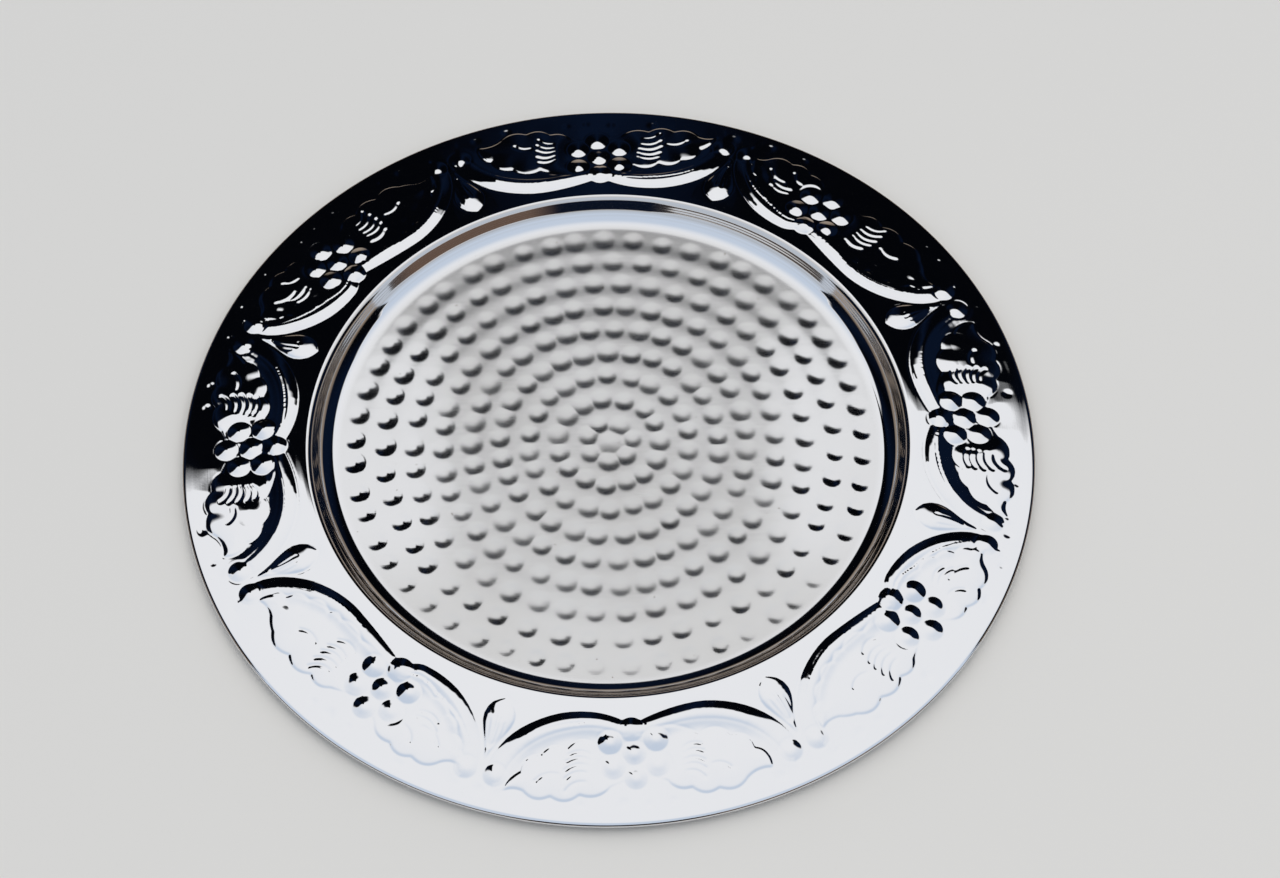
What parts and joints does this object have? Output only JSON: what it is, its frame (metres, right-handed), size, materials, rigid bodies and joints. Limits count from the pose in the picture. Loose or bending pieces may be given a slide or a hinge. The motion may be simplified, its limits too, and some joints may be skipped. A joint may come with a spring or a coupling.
{
  "type": "offering_plate",
  "caption": "Round polished steel offering plate with a hammered well and an embossed grape-and-vine border",
  "frame": {"origin": "middle of the flat underside that the plate stands on, at the bottom of its bounding box", "axes": "+Z is the plate's axis and points up out of the well; +X and +Y lie in the supporting plane"},
  "size_m": [0.33, 0.33, 0.0094],
  "materials": {
    "sheet": "mirror polished rim, satin hammered well",
    "wire": "drawn wire, unpolished"
  },
  "bodies": {
    "root": {"plate_sheet": "sheet", "edge_wire": "wire"}
  },
  "joints": []
}
